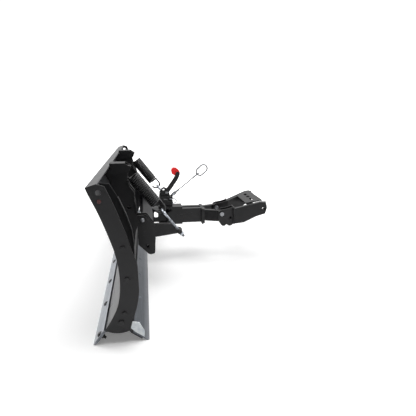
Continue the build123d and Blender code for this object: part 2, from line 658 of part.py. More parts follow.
# ========================================================== PUSH FRAME GROUP
HEAD_X = 45.0                    # half width of the head and the push beam
BEAM_BACK = 524                  # rear end of the push beam
BEAM_Z0 = HEAD_LOW_Z + HEAD_LOW_T
BEAM_Z1 = HEAD_TOP_Z
BEAM_T = 5                       # sheet

# Head plates: above and below the swivel, round in front and square behind.
with BuildPart() as head_plates:
    for plate_z, plate_t in ((HEAD_TOP_Z, HEAD_TOP_T), (HEAD_LOW_Z, HEAD_LOW_T)):
        with BuildSketch(Plane.XY.offset(plate_z)) as head_outline:
            with Locations((0, KING_Y)):
                Circle(68.0)
            with Locations((0, KING_Y)):
                Rectangle(2 * HEAD_X, 200, mode=Mode.INTERSECT)
            with Locations((0, (KING_Y + 411) / 2)):
                Rectangle(2 * HEAD_X, 411 - KING_Y)
        extrude(amount=plate_t)
    king_bore(200, 320)
    upright(0, LOCK_Y, LOCK_R + RUN, 298, 312, mode=Mode.SUBTRACT)
save("head_plates", head_plates)

# Side channels of the push beam, with inward flanges behind the head and a
# raised oval bead on the outside.
with BuildPart() as push_channels:
    slab([(324, BEAM_Z0), (BEAM_BACK, BEAM_Z0), (BEAM_BACK, BEAM_Z1), (346, BEAM_Z1),
          (346, 286), (324, 276)], HEAD_X - BEAM_T, HEAD_X)
    block(12, HEAD_X - BEAM_T, 412, BEAM_BACK, BEAM_Z1 - BEAM_T, BEAM_Z1)
    block(12, HEAD_X - BEAM_T, 412, BEAM_BACK, BEAM_Z0, BEAM_Z0 + BEAM_T)
    with BuildSketch(Plane.YZ.offset(HEAD_X)) as bead:
        with Locations(Location((425, 262), 8)):
            SlotOverall(95, 13)
    extrude(bead.sketch, amount=2.5)
    mirror(about=Plane.YZ)
save("push_channels", push_channels)

# Bolted joint between the push beam and the rear legs.
JOINT_X, JOINT_Z = 18.0, (236.0, 281.0)
JOINT_T = 8                      # joint plate and leg flange thickness
JOINT_R = 6.0                    # joint bolts
LEG_FRONT = BEAM_BACK + JOINT_T + GAP
JOINT_BOLTS = [(x, z) for x in (-JOINT_X, JOINT_X) for z in JOINT_Z]
with BuildPart() as joint_plate:
    block(-70, 70, BEAM_BACK, BEAM_BACK + JOINT_T, 208, 299)
    for x, z in JOINT_BOLTS:
        rod((x, 520, z), (0, 1, 0), JOINT_R + RUN, length=20, mode=Mode.SUBTRACT)
save("joint_plate", joint_plate)

# Diverging rear legs with an end flange in front and a pivot sleeve behind.
LEG_START, LEG_END = (44.0, LEG_FRONT), (84.6, LIFT_Y)     # centre line (X, Y)
LEG_DX = LEG_END[0] - LEG_START[0]
LEG_DY = LEG_END[1] - LEG_START[1]
LEG_LEN = math.hypot(LEG_DX, LEG_DY)
LEG_DIR = (LEG_DX / LEG_LEN, LEG_DY / LEG_LEN)
LEG_PLANE = Plane(origin=(*LEG_START, 0), x_dir=(*LEG_DIR, 0),
                  z_dir=(LEG_DIR[1], -LEG_DIR[0], 0))
PIVOT_X0, PIVOT_X1 = 67.5, 109.5                           # ends of the sleeve
LEG_OUTLINE = [(-6, 227), (94, 227), (110, 240), (118, 262), (118, 285),
               (108, 291.5), (-6, 291.5)]                  # (along the leg, Z)
with BuildPart() as push_leg_right:
    with BuildSketch(LEG_PLANE) as leg_side:
        with BuildLine():
            Polyline(*LEG_OUTLINE, close=True)
        make_face()
    extrude(leg_side.sketch, amount=14, both=True)
    with BuildSketch(LEG_PLANE) as leg_hollow:
        with Locations((35, 259.2)):
            Rectangle(110, 56)
    extrude(leg_hollow.sketch, amount=10.5, both=True, mode=Mode.SUBTRACT)
    block(4, 70, LEG_FRONT, LEG_FRONT + JOINT_T, 214, 297)
    block(0, 130, 480, LEG_FRONT, 200, 320, mode=Mode.SUBTRACT)
    block(PIVOT_X0, PIVOT_X1, 616, 636, 262, 290)
    across(LIFT_Y, LIFT_Z, 15.5, PIVOT_X0, PIVOT_X1)
    # trim the leg flush with both ends of the sleeve
    block(PIVOT_X1, 140, 560, 700, 200, 320, mode=Mode.SUBTRACT)
    block(30, PIVOT_X0, 600, 700, 200, 320, mode=Mode.SUBTRACT)
    across(LIFT_Y, LIFT_Z, LIFT_R + RUN, 40, 120, mode=Mode.SUBTRACT)
    for z in JOINT_Z:
        rod((JOINT_X, 520, z), (0, 1, 0), JOINT_R + RUN, length=24, mode=Mode.SUBTRACT)
save_pair("push_leg", push_leg_right)

with BuildPart() as joint_bolts:
    for x, z in JOINT_BOLTS:
        hexagon((x, BEAM_BACK, z), (0, -1, 0), radius=10.5, length=7.5)
        rod((x, BEAM_BACK, z), (0, 1, 0), JOINT_R, length=29)
save("joint_bolts", joint_bolts)

with BuildPart() as joint_nuts:
    for x, z in JOINT_BOLTS:
        nut((x, LEG_FRONT + JOINT_T + GAP, z), (0, 1, 0),
            radius=9.8, length=9.0, bore=JOINT_R + RUN)
save("joint_nuts", joint_nuts)

# Latch tower: C-shaped block over the head, open to the rear, with the lever
# ears and the lug of the lift cable.
TOWER_Z0, TOWER_Z1 = HEAD_TOP_Z + HEAD_TOP_T + GAP, 368
EAR_IN, EAR_OUT = 10, 15         # lever ear faces
TOWER = [(281, TOWER_Z0), (356, TOWER_Z0), (358, 347), (307, 347), (307, 357),
         (358, 357), (358, TOWER_Z1), (281, TOWER_Z1)]
EAR = [(281, 368), (284, 392), (289, 402), (298, 415), (309, 420), (321, 416),
       (334, 402), (340, 385), (344, 368)]
CABLE_LUG = [(346, 367), (346, 370), (357, 384), (371, 374), (364, 370.5), (358, 367)]
with BuildPart() as latch_tower:
    slab(TOWER, -26, 26)
    fillet(latch_tower.edges().filter_by(Axis.Z).group_by(Axis.Y)[0], 5)
    block(-20, 20, 312, 350, 311, 340, mode=Mode.SUBTRACT)
    upright(0, LOCK_Y, 9.0, 311, 352, mode=Mode.SUBTRACT)
    upright(0, LOCK_Y, LOCK_R + RUN, 350, 370, mode=Mode.SUBTRACT)
    king_bore(311, 369)
    for x0, x1 in both_faces(EAR_IN, EAR_OUT):
        slab(EAR, x0, x1)
    across(307, 407, 6.5, -20, 20, mode=Mode.SUBTRACT)
    across(LEVER_Y, LEVER_Z, LEVER_BOLT_R + RUN, -20, 20, mode=Mode.SUBTRACT)
    slab(CABLE_LUG, -4, 4)
    across(CABLE_Y, CABLE_Z, 8.5, -4, 4)
    # clear the kingpin hole again where the lug overlaps it
    king_bore(311, 369)
    across(CABLE_Y, CABLE_Z, CABLE_PIN_R + RUN, -20, 20, mode=Mode.SUBTRACT)
save("latch_tower", latch_tower)

CLIP_Z = 352                     # kingpin cross hole
with BuildPart() as kingpin:
    upright(0, KING_Y, KING_R, 200, 366)
    upright(0, KING_Y, 20.0, 200, HEAD_LOW_Z - GAP)
    chamfer(kingpin.faces().sort_by(Axis.Z)[-1].edges(), 1.5)
    with Locations(Plane(origin=(0, KING_Y, CLIP_Z), z_dir=(0, 1, 0))):
        Cylinder(2.35, 60, mode=Mode.SUBTRACT)
save("kingpin", kingpin)

WASHERS = ((BEAM_Z0, SLEEVE_Z0 - RUN),
           (SLEEVE_Z1 + SECTOR_T + RUN, HEAD_TOP_Z - RUN))
with BuildPart() as thrust_washers:
    for z0, z1 in WASHERS:
        upright(0, KING_Y, 24.0, z0, z1)
    king_bore(210, 300)
save("thrust_washers", thrust_washers)

# Hairpin clip through the kingpin's cross hole, its loop hanging behind.
CLIP_START = (0, 316, CLIP_Z)
clip_path = Wire([Line(CLIP_START, (0, 362, CLIP_Z)),
                  ThreePointArc((0, 362, CLIP_Z), (0, 373, 349), (0, 380, 340)),
                  ThreePointArc((0, 380, 340), (0, 378, 331), (0, 369, 327.5))])
with BuildPart() as hairpin_clip:
    with BuildSketch(Plane(origin=CLIP_START, z_dir=(0, 1, 0))) as clip_wire:
        Circle(2.25)
    sweep(clip_wire.sketch, path=clip_path, transition=Transition.ROUND)
save("hairpin_clip", hairpin_clip)

# Lock lever: hub between the ears, slotted front arm, long handle.
HANDLE = [(322, 390), (336.5, 409), (352.5, 431), (368, 452.5), (379, 469),
          (387, 484), (391.5, 497)]                # centre line, bottom to top
HANDLE_W = 25.0
LEVER_ARM = [(282, 388.5), (285, 386.6), (289, 385.5), (324, 385.5), (324, 398.5),
             (284.5, 398.5), (282, 396)]
with BuildPart() as lock_lever:
    slab(strip(HANDLE, HANDLE_W), -4, 4)
    across(LEVER_Y, LEVER_Z, 12.0, -4, 4)
    across(*HANDLE[-1], HANDLE_W / 2, -4, 4)
    slab(LEVER_ARM, -4, 4)
    across(LEVER_Y, LEVER_Z, LEVER_BOLT_R + RUN, -5, 5, mode=Mode.SUBTRACT)
    with BuildSketch(Plane.YZ.offset(-5)) as slot:
        with Locations((292.2, LEVER_Z)):
            SlotCenterToCenter(4.6, 7.0)
    extrude(slot.sketch, amount=10, mode=Mode.SUBTRACT)
save("lock_lever", lock_lever)

GRIP = [(359, 496), (355, 512), (358, 526), (368, 532), (384, 530), (398, 519),
        (405, 506), (404, 495), (394, 486), (376, 486)]
with BuildPart() as lever_grip:
    slab(GRIP, -40, -4.1)
    fillet(lever_grip.edges().filter_by(Axis.X), 2.0)
save("lever_grip", lever_grip)

with BuildPart() as lever_bolt:
    rod((EAR_OUT, LEVER_Y, LEVER_Z), (-1, 0, 0), LEVER_BOLT_R, length=38)
    hexagon((EAR_OUT + RUN, LEVER_Y, LEVER_Z), (1, 0, 0), radius=7.5, length=5.5)
    hexagon((-EAR_OUT - RUN, LEVER_Y, LEVER_Z), (-1, 0, 0), radius=7.5, length=6.5)
save("lever_bolt", lever_bolt)

# Lock pin: plunger with a spring collar and a clevis head for the lever arm.
with BuildPart() as lock_pin:
    upright(0, LOCK_Y, LOCK_R, 299.5, 384)
    chamfer(lock_pin.faces().sort_by(Axis.Z)[0].edges(), 1.0)
    upright(0, LOCK_Y, 8.5, 321.5, 325)
    upright(0, LOCK_Y, 8.6, 378.0, 384)
    for x0, x1 in both_faces(4.3, 8.0):
        block(x0, x1, LOCK_Y - 5.5, LOCK_Y + 5.5, 384, 398)
    across(LOCK_Y, LEVER_Z, 3.0, -9.4, 9.4)
save("lock_pin", lock_pin)

# Lock spring: small coil around the lock pin, above its collar.
with BuildPart() as lock_spring_local:
    with BuildLine(Plane.XY.offset(326)) as lock_helix:
        Helix(pitch=4.05, height=24.4, radius=6.9)
    lock_path = lock_helix.wires()[0]
    with BuildSketch(Plane(origin=lock_path @ 0, z_dir=lock_path % 0)) as lock_wire:
        Circle(0.8)
    sweep(lock_wire.sketch, path=lock_path, is_frenet=True)
with BuildPart() as lock_spring:
    add(Pos(0, LOCK_Y, 0) * lock_spring_local.part)
save("lock_spring", lock_spring)

with BuildPart() as lift_pin:
    across(CABLE_Y, CABLE_Z, CABLE_PIN_R, -9.6, 9.6)
    for x0, x1 in both_faces(7.6, 9.6):
        across(CABLE_Y, CABLE_Z, 6.0, x0, x1)
save("lift_pin", lift_pin)

# Lift cable: clevis, cable and swaged eye as one stiff link.
CABLE_LEN = math.hypot(RING_Y - CABLE_Y, RING_Z - CABLE_Z)
CABLE_DIR = (0, (RING_Y - CABLE_Y) / CABLE_LEN, (RING_Z - CABLE_Z) / CABLE_LEN)
CLEVIS_IN, CLEVIS_OUT, CLEVIS_H = 4.2, 7.4, 15
CABLE_EYE_R = 11.5
EYE_START = CABLE_LEN - CABLE_EYE_R    # where the cable meets the eye


def cable_point(along, x=0.0):
    return (x, CABLE_Y + CABLE_DIR[1] * along, CABLE_Z + CABLE_DIR[2] * along)


with BuildPart() as lift_cable:
    for x0, x1 in both_faces(CLEVIS_IN, CLEVIS_OUT):
        across(CABLE_Y, CABLE_Z, CLEVIS_H / 2, x0, x1)
        with BuildSketch(Plane(origin=cable_point(0, x0), x_dir=CABLE_DIR,
                               z_dir=(1, 0, 0))) as cheek:
            with Locations((9, 0)):
                Rectangle(18, CLEVIS_H)
        extrude(cheek.sketch, amount=x1 - x0)
    with BuildSketch(Plane(origin=cable_point(11, -CLEVIS_OUT), x_dir=CABLE_DIR,
                           z_dir=(1, 0, 0))) as clevis_base:
        with Locations((3.5, 0)):
            Rectangle(7, CLEVIS_H)
    extrude(clevis_base.sketch, amount=2 * CLEVIS_OUT)
    across(CABLE_Y, CABLE_Z, CABLE_PIN_R + RUN, -10, 10, mode=Mode.SUBTRACT)
    rod(cable_point(17), CABLE_DIR, radius=5.0, length=24)
    rod(cable_point(30), CABLE_DIR, radius=3.0, length=EYE_START - 30)
    rod(cable_point(EYE_START - 26), CABLE_DIR, radius=4.6, length=24)
    with Locations(Plane(origin=cable_point(CABLE_LEN), x_dir=(1, 0, 0),
                         z_dir=(0, -CABLE_DIR[2], CABLE_DIR[1]))):
        Torus(CABLE_EYE_R, 3.0)
save("lift_cable", lift_cable)

# Oval lift ring, its long axis sloping up to the rear.
RING_A, RING_B = 36.0, 22.0      # half length and half width, wire centre
RING_STRAIGHT = RING_A - RING_B  # half length of the straight sides
RING_DIR_Y, RING_DIR_Z = 0.743, 0.669
RING_PLANE = Plane(origin=(0, RING_Y + RING_A * RING_DIR_Y, RING_Z + RING_A * RING_DIR_Z),
                   x_dir=(0, RING_DIR_Y, RING_DIR_Z), z_dir=(1, 0, 0))
with BuildPart() as lift_ring:
    with BuildLine(RING_PLANE) as ring_line:
        Line((-RING_STRAIGHT, -RING_B), (RING_STRAIGHT, -RING_B))
        ThreePointArc((RING_STRAIGHT, -RING_B), (RING_A, 0), (RING_STRAIGHT, RING_B))
        Line((RING_STRAIGHT, RING_B), (-RING_STRAIGHT, RING_B))
        ThreePointArc((-RING_STRAIGHT, RING_B), (-RING_A, 0), (-RING_STRAIGHT, -RING_B))
    ring_wire = ring_line.wires()[0]
    with BuildSketch(Plane(origin=ring_wire @ 0, z_dir=ring_wire % 0)) as ring_section:
        Circle(4.0)
    sweep(ring_section.sketch, path=ring_wire)
save("lift_ring", lift_ring)

# ========================================================= VEHICLE MOUNT GROUP
# Mount rails: hollow box rails that diverge towards the rear.
EARS_BACK = 704
RAIL_X, RAIL_Y = 112.0, EARS_BACK + GAP       # centre line at the front end
RAIL_SLOPE = 0.36                             # X gained per Y
RAIL_STRETCH = math.hypot(RAIL_SLOPE, 1.0)    # rail length per Y
RAIL_DIR = (RAIL_SLOPE / RAIL_STRETCH, 1 / RAIL_STRETCH)
RAIL_PLANE = Plane(origin=(RAIL_X, RAIL_Y, 0), x_dir=(*RAIL_DIR, 0),
                   z_dir=(RAIL_DIR[1], -RAIL_DIR[0], 0))
RAIL_L = 148.0 * RAIL_STRETCH
RAIL_HALF_W = 17.5
REAR_Y, REAR_Z, REAR_R = 858.0, 316.0, 8.25   # vehicle pin bore
# outlines as (along the rail, Z)
RAIL_OUTLINE = [(0, 218), (60, 230), (RAIL_L - 30, 268), (RAIL_L + 22, 288),
                (RAIL_L + 30, 318), (RAIL_L + 22, 352), (RAIL_L - 10, 350), (0, 306)]
RAIL_HOLLOW = [(6, 226), (60, 236), (RAIL_L - 34, 274), (RAIL_L - 26, 338), (6, 299)]
with BuildPart() as mount_rails:
    with BuildSketch(RAIL_PLANE) as rail_side:
        with BuildLine():
            Polyline(*RAIL_OUTLINE, close=True)
        make_face()
    extrude(rail_side.sketch, amount=RAIL_HALF_W, both=True)
    with BuildSketch(RAIL_PLANE) as rail_hollow:
        with BuildLine():
            Polyline(*RAIL_HOLLOW, close=True)
        make_face()
    extrude(rail_hollow.sketch, amount=13.5, both=True, mode=Mode.SUBTRACT)
    block(30, 200, 600, RAIL_Y, 180, 340, mode=Mode.SUBTRACT)
    across(REAR_Y, REAR_Z, REAR_R, 100, 240, mode=Mode.SUBTRACT)
    mirror(about=Plane.YZ)
save("mount_rails", mount_rails)

# Mount ears: a pair of plates around each lift pivot, joined at the rear.
EAR_T = 6.0
OUTER_EAR_X, INNER_EAR_X = 110.0, 61.0        # inboard face of each plate
MOUNT_EAR = [(612, 266), (613, 284), (621, 295), (634, 300), (664, 304),
             (EARS_BACK, 315), (EARS_BACK, 222), (694, 210), (682, 204), (672, 205),
             (660, 214), (648, 205), (636, 205), (626, 214), (615, 244)]
with BuildPart() as mount_ears:
    for x in (OUTER_EAR_X, INNER_EAR_X):
        slab(MOUNT_EAR, x, x + EAR_T)
    block(INNER_EAR_X, 131.0, EARS_BACK - EAR_T, EARS_BACK, 217, 315)
    across(LIFT_Y, LIFT_Z, LIFT_R + RUN, 40, 130, mode=Mode.SUBTRACT)
    across(684, 252, 8.0, 109, 117, mode=Mode.SUBTRACT)
    mirror(about=Plane.YZ)
save("mount_ears", mount_ears)

# Slotted top plate and a round cross tube between the mount rails.
PLATE_Y0, PLATE_L = 772.0, 90.0
PLATE_RISE, PLATE_RUN = 0.248, 0.969          # slope of the plate, up to the rear
CROSS_PLANE = Plane(origin=(0, PLATE_Y0, 331), x_dir=(1, 0, 0),
                    z_dir=(0, -PLATE_RISE, PLATE_RUN))


def rail_inner(y):
    """X just inside the right rail's inboard face."""
    return RAIL_X + RAIL_SLOPE * (y - RAIL_Y) - RAIL_HALF_W * RAIL_STRETCH - 0.2


with BuildPart() as mount_cross_plate:
    with BuildSketch(CROSS_PLANE) as cross_outline:
        with BuildLine():
            front_x = rail_inner(PLATE_Y0 - 1.5)
            rear_x = rail_inner(PLATE_Y0 - 1.5 + PLATE_L * PLATE_RUN)
            Polyline((-front_x, 0), (front_x, 0), (rear_x, PLATE_L), (-rear_x, PLATE_L),
                     close=True)
        make_face()
        with Locations((-66, 46), (0, 46), (66, 46)):
            SlotOverall(46, 18, mode=Mode.SUBTRACT)
    extrude(amount=6)
    across(832, 300, 17.0, -rail_inner(812), rail_inner(812))
    across(832, 300, 13.5, -137, 137, mode=Mode.SUBTRACT)
save("mount_cross_plate", mount_cross_plate)

# Lift pivot bolts, head outboard and nut inboard.
with BuildPart() as lift_bolts:
    head_seat = (OUTER_EAR_X + EAR_T + RUN, LIFT_Y, LIFT_Z)
    rod(head_seat, (-1, 0, 0), LIFT_R, length=70)
    hexagon(head_seat, (1, 0, 0), radius=12.5, length=8.0)
    hexagon((INNER_EAR_X - GAP, LIFT_Y, LIFT_Z), (-1, 0, 0), radius=12.5, length=10.0)
    mirror(about=Plane.YZ)
save("lift_bolts", lift_bolts)
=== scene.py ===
# Plow blade with its push frame, two coil springs and lift cable.
# X runs across the blade, +Y runs back along the push frame, +Z is up and the
# floor is at z = 0. Parts named "right" lie at +X and parts named "left" at -X.
import bpy
import math
from mathutils import Vector, Matrix, noise

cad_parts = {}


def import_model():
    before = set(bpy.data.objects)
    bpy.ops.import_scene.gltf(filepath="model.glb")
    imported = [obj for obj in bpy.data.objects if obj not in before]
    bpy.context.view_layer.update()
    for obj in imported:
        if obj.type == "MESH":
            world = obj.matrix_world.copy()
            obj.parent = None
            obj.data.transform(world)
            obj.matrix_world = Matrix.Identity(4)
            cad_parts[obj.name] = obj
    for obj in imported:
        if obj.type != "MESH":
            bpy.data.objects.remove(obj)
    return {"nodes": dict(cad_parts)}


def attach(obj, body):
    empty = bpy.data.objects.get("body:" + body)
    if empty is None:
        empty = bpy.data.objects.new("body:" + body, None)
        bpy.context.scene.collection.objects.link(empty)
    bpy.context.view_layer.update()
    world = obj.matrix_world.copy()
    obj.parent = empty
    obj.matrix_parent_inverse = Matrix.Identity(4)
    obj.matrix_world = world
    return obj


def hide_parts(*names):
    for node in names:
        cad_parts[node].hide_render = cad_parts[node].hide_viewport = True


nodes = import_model()["nodes"]
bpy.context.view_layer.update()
scene = bpy.context.scene
MM = 0.001

# Spring axis: top of the coil and unit direction, both as (Y, Z).
SPRING_TOP = (0.148, 0.5415)
SPRING_AXIS = (0.61, -0.7924)
SPRING_X = 0.351


# ------------------------------------------------------------ shader helpers
def shade(color, factor, lift=0.0):
    """Color scaled and lifted, held to 1."""
    return tuple(min(1.0, channel * factor + lift) for channel in color)


class Nodes:
    """Adds and wires nodes in one node tree."""

    def __init__(self, tree):
        self.tree = tree

    def put(self, socket, value):
        """Link a socket, or set a plain value."""
        if isinstance(value, bpy.types.NodeSocket):
            self.tree.links.new(value, socket)
        else:
            socket.default_value = value

    def add(self, kind, inputs=None, **settings):
        node = self.tree.nodes.new(kind)
        for key, value in settings.items():
            setattr(node, key, value)
        for key, value in (inputs or {}).items():
            self.put(node.inputs[key], value)
        return node

    def separate(self, vector):
        return self.add("ShaderNodeSeparateXYZ", {0: vector}).outputs

    def ramp(self, value, start=0.3, end=0.7, low=0.0, high=1.0, **settings):
        """Map start..end to low..high."""
        return self.add("ShaderNodeMapRange", {
            "From Min": start, "From Max": end, "To Min": low, "To Max": high,
            "Value": value}, **settings).outputs["Result"]


class Mat(Nodes):
    """A Principled material textured in object coordinates."""

    def __init__(self, name):
        self.material = bpy.data.materials.new(name)
        self.material.use_nodes = True
        super().__init__(self.material.node_tree)
        self.bsdf = self.tree.nodes["Principled BSDF"]
        self.place = self.add("ShaderNodeTexCoord").outputs["Object"]

    def noise(self, scale, detail=3.0, rough=0.5, place=None):
        return self.add("ShaderNodeTexNoise", {
            "Scale": scale, "Detail": detail, "Roughness": rough,
            "Vector": place or self.place}).outputs["Fac"]

    def streaks(self, stretch, detail, rough, turn=(0, 0, 0)):
        """Noise with its own scale on each axis."""
        mapping = self.add("ShaderNodeMapping", {
            "Scale": stretch, "Rotation": turn, "Vector": self.place})
        return self.noise(scale=1.0, detail=detail, rough=rough,
                          place=mapping.outputs["Vector"])

    def math(self, operation, a, b=0.0):
        return self.add("ShaderNodeMath", {0: a, 1: b}, operation=operation).outputs[0]

    def times(self, value, by):
        return self.math("MULTIPLY", value, by)

    def plus(self, value, by):
        return self.math("ADD", value, by)

    def mix(self, mask, under, over):
        def rgba(color):
            return color if isinstance(color, bpy.types.NodeSocket) else (*color, 1.0)

        return self.add("ShaderNodeMix", {"Factor": mask, 6: rgba(under), 7: rgba(over)},
                        data_type="RGBA").outputs[2]

    def tint(self, under, mask, amount, over):
        """Lay a color over another by a share of the mask."""
        return self.mix(self.times(mask, by=amount), under, over)

    def mottle(self, cloud, dark, light, start=0.3, end=0.7):
        """Two tones spread by a noise."""
        return self.mix(self.ramp(cloud, start, end), dark, light)

    def rounded(self, radius):
        """Normal that rounds the edges."""
        return self.add("ShaderNodeBevel", {"Radius": radius}, samples=4).outputs["Normal"]

    def edge_mask(self, rounded):
        """1 where the rounded normal leaves the true one."""
        true = self.add("ShaderNodeNewGeometry").outputs["Normal"]
        dot = self.add("ShaderNodeVectorMath", {0: rounded, 1: true},
                       operation="DOT_PRODUCT")
        return self.ramp(dot.outputs["Value"], start=0.995, end=0.86)

    def bump(self, height, strength, distance, normal=None):
        node = self.add("ShaderNodeBump", {
            "Strength": strength, "Distance": distance, "Height": height})
        if normal is not None:
            self.put(node.inputs["Normal"], normal)
        return node.outputs["Normal"]

    def finish(self, color, rough, metal, normal, spec=0.5, coat=0.0):
        for key, value in {
                "Base Color": color, "Roughness": rough, "Metallic": metal,
                "Normal": normal, "Specular IOR Level": spec,
                "Coat Weight": coat, "Coat Roughness": 0.25}.items():
            self.put(self.bsdf.inputs[key], value)
        return self.material


# ------------------------------------------------------------------ materials
def powder_coat(name, base, worn, rough, spec=0.4, radius=0.0014, bare_from=None):
    """Black powder coat: orange peel, scuffs, dust on top faces, thin worn edges.

    Beyond Y = bare_from, where given, the metal is left plain.
    """
    m = Mat(name)
    rounded = m.rounded(radius)
    edges = m.edge_mask(rounded)
    cloud = m.noise(scale=5.5, detail=4.0, rough=0.6)
    scuff = m.streaks(stretch=(9, 40, 160), detail=6.0, rough=0.7)
    cross_scuff = m.streaks(stretch=(140, 22, 30), detail=6.0, rough=0.7,
                            turn=(0.5, 0.2, 0.3))
    scratch = m.math("MAXIMUM", m.ramp(scuff, start=0.63, end=0.74),
                     m.ramp(cross_scuff, start=0.65, end=0.75))
    chips = m.ramp(m.noise(scale=120.0, detail=4.0, rough=0.65), start=0.45, end=0.62)
    up = m.separate(m.add("ShaderNodeNewGeometry").outputs["Normal"])["Z"]
    dust = m.times(m.ramp(up, start=0.3, end=0.98), m.ramp(cloud, start=0.35, end=0.68))
    color = m.mottle(cloud, dark=shade(base, factor=0.82), light=shade(base, factor=1.2))
    color = m.tint(color, dust, amount=0.30, over=(0.13, 0.13, 0.128))
    color = m.tint(color, scratch, amount=0.16, over=(0.12, 0.12, 0.12))
    wear = m.times(edges, m.plus(m.times(chips, by=0.6), by=0.25))
    color = m.tint(color, wear, amount=0.55, over=(worn, worn, worn * 1.02))
    roughness = m.plus(m.ramp(cloud, low=rough - 0.06, high=rough + 0.08),
                       m.times(scratch, by=0.12))
    peel = m.plus(m.noise(scale=950.0, detail=2.0),
                  m.times(m.noise(scale=240.0, detail=2.0), by=0.7))
    normal = m.bump(peel, strength=0.16, distance=0.0004, normal=rounded)
    metal = 0.0
    if bare_from is not None:
        metal = m.ramp(m.separate(m.place)["Y"], start=bare_from, end=bare_from + 0.002)
        color = m.mix(metal, color, (0.17, 0.185, 0.21))
    return m.finish(color, roughness, metal, normal, spec)


def wear_steel(name, light, dark):
    """Plain rolled bar: grain along X, faint stains, polished lower edge."""
    m = Mat(name)
    rounded = m.rounded(radius=0.0012)
    edges = m.edge_mask(rounded)
    grain = m.streaks(stretch=(6, 420, 420), detail=6.0, rough=0.65)
    fine = m.streaks(stretch=(24, 1500, 1500), detail=4.0, rough=0.6)
    cloud = m.noise(scale=7.0, detail=5.0, rough=0.6)
    stain = m.ramp(m.noise(scale=26.0, detail=6.0, rough=0.72), start=0.56, end=0.74)
    color = m.mottle(grain, dark, light)
    color = m.tint(color, m.ramp(cloud, start=0.35), amount=0.3,
                   over=shade(light, factor=0.85))
    color = m.tint(color, stain, amount=0.22, over=(0.17, 0.135, 0.11))
    polish = m.ramp(m.separate(m.place)["Z"], start=0.016, end=0.002)
    color = m.tint(color, polish, amount=0.4, over=(0.5, 0.51, 0.53))
    color = m.tint(color, edges, amount=0.45, over=(0.7, 0.71, 0.73))
    roughness = m.plus(m.ramp(fine, start=0.25, end=0.75, low=0.30, high=0.46),
                       m.times(stain, by=0.18))
    normal = m.bump(m.plus(m.times(grain, by=0.6), fine),
                    strength=0.12, distance=0.0003, normal=rounded)
    return m.finish(color, roughness, metal=0.85, normal=normal)


def zinc(name, tint=(0.60, 0.64, 0.71), rough=0.30, metal=0.9):
    """Zinc plate: fine spangle, slightly cloudy."""
    m = Mat(name)
    rounded = m.rounded(radius=0.0006)
    edges = m.edge_mask(rounded)
    spangle = m.add("ShaderNodeTexVoronoi", {"Scale": 420.0, "Vector": m.place})
    cloud = m.noise(scale=60.0, detail=4.0, rough=0.6)
    color = m.mottle(cloud, dark=shade(tint, factor=0.78), light=shade(tint, factor=1.12),
                     start=0.35, end=0.68)
    tone = m.add("ShaderNodeRGBToBW", {0: spangle.outputs["Color"]}).outputs[0]
    color = m.tint(color, tone, amount=0.18, over=(0.85, 0.88, 0.93))
    color = m.tint(color, edges, amount=0.4, over=(0.9, 0.92, 0.95))
    roughness = m.ramp(cloud, low=rough - 0.07, high=rough + 0.12)
    normal = m.bump(m.noise(scale=700.0), strength=0.10, distance=0.0002, normal=rounded)
    return m.finish(color, roughness, metal, normal)


def thread_zinc(name):
    """Zinc rod with rolled-thread rings across the spring axis; the thread grooves are
    painted dark as shade.
    """
    pitch = 1.75 * MM
    top = SPRING_TOP[0] * SPRING_AXIS[0] + SPRING_TOP[1] * SPRING_AXIS[1]
    m = Mat(name)
    place = m.separate(m.place)
    along = m.plus(m.times(place["Y"], by=SPRING_AXIS[0]),
                   m.times(place["Z"], by=SPRING_AXIS[1]))
    wave = m.math("SINE", m.times(along, by=2 * math.pi / pitch))
    threaded = m.ramp(along, start=top + 0.318, end=top + 0.322)
    cloud = m.noise(scale=60.0, detail=4.0, rough=0.6)
    color = m.mottle(cloud, dark=(0.46, 0.49, 0.54), light=(0.70, 0.74, 0.80),
                     start=0.35, end=0.68)
    # Painted shade: the thread grooves are darkened in colour.
    groove_shade = m.times(m.ramp(wave, start=0.2, end=-0.8), threaded)
    color = m.tint(color, groove_shade, amount=0.75, over=(0.08, 0.08, 0.085))
    tail = m.ramp(along, start=top + 0.368, end=top + 0.374)
    color = m.tint(color, tail, amount=0.6, over=(0.12, 0.12, 0.125))
    normal = m.bump(m.times(wave, threaded), strength=0.6, distance=0.0006)
    return m.finish(color, m.ramp(cloud, low=0.22, high=0.38), metal=0.9, normal=normal)


def plastic(name, base, rough=0.33, glow=0.0):
    """Moulded plastic: soft sheen, faint flow marks, small scuffs, and a painted glow of
    the given strength.
    """
    m = Mat(name)
    rounded = m.rounded(radius=0.0020)
    edges = m.edge_mask(rounded)
    cloud = m.noise(scale=40.0, detail=4.0, rough=0.55)
    color = m.mottle(cloud, dark=shade(base, factor=0.86), light=base)
    color = m.tint(color, edges, amount=0.18, over=shade(base, factor=1.5, lift=0.05))
    scuff = m.ramp(m.streaks(stretch=(300, 60, 500), detail=5.0, rough=0.7),
                   start=0.6, end=0.75)
    color = m.tint(color, scuff, amount=0.15, over=(0.5, 0.25, 0.22))
    normal = m.bump(m.noise(scale=500.0), strength=0.08, distance=0.0004, normal=rounded)
    # Painted glow: emission lights the plastic in its own colour, though it is no lamp.
    m.put(m.bsdf.inputs["Emission Color"], color)
    m.put(m.bsdf.inputs["Emission Strength"], glow)
    return m.finish(color, m.ramp(cloud, low=rough - 0.05, high=rough + 0.1),
                    metal=0.0, normal=normal, coat=0.25)


def spring_coat(name):
    """Glossy black coat with small rubbed spots."""
    m = Mat(name)
    cloud = m.noise(scale=30.0, detail=4.0, rough=0.6)
    rub = m.ramp(m.noise(scale=160.0, detail=5.0, rough=0.7), start=0.55, end=0.75)
    color = m.mottle(cloud, dark=(0.018, 0.018, 0.019), light=(0.034, 0.034, 0.036))
    color = m.tint(color, rub, amount=0.25, over=(0.11, 0.11, 0.11))
    normal = m.bump(m.noise(scale=800.0), strength=0.14, distance=0.0003)
    return m.finish(color, m.ramp(cloud, low=0.26, high=0.4), metal=0.0, normal=normal,
                    spec=0.55, coat=0.15)


